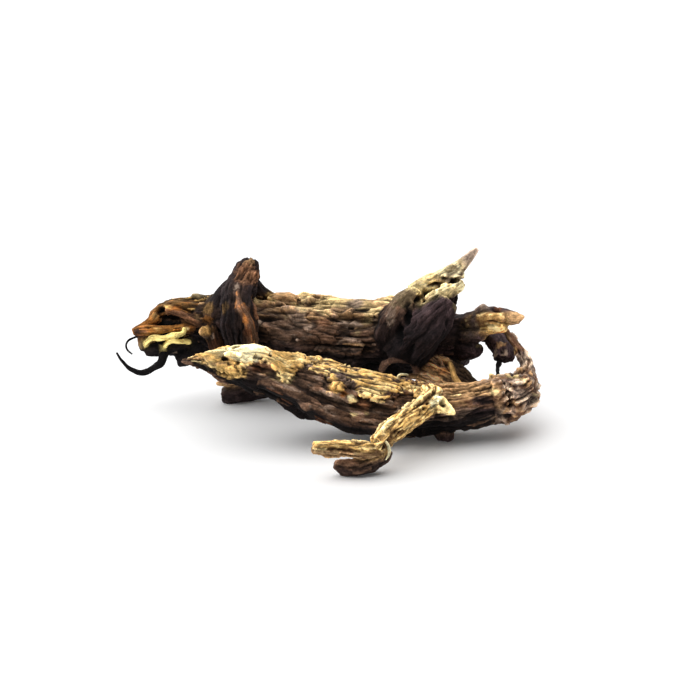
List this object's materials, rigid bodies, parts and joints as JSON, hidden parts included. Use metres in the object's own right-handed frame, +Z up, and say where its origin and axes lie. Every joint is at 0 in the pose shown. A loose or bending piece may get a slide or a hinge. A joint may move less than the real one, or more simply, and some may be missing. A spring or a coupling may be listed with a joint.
{
  "type": "marshmallow root",
  "caption": "Dried, gnarled root folded like a hairpin, with broken branches, thin rootlets and a forked twig, resting on its feet.",
  "frame": {"origin": "middle of the bounding box in plan, on the surface that the root rests on", "axes": "+X along the main root, towards the bend; +Y from the front root to the main root behind it; +Z up"},
  "size_m": [0.1297, 0.0805, 0.0522],
  "materials": {
    "bark": "dry wrinkled bark, near black in its furrows, tan on its ridges, with bare yellow wood where it is torn"
  },
  "bodies": {
    "root": {"root": "bark"}
  },
  "joints": []
}
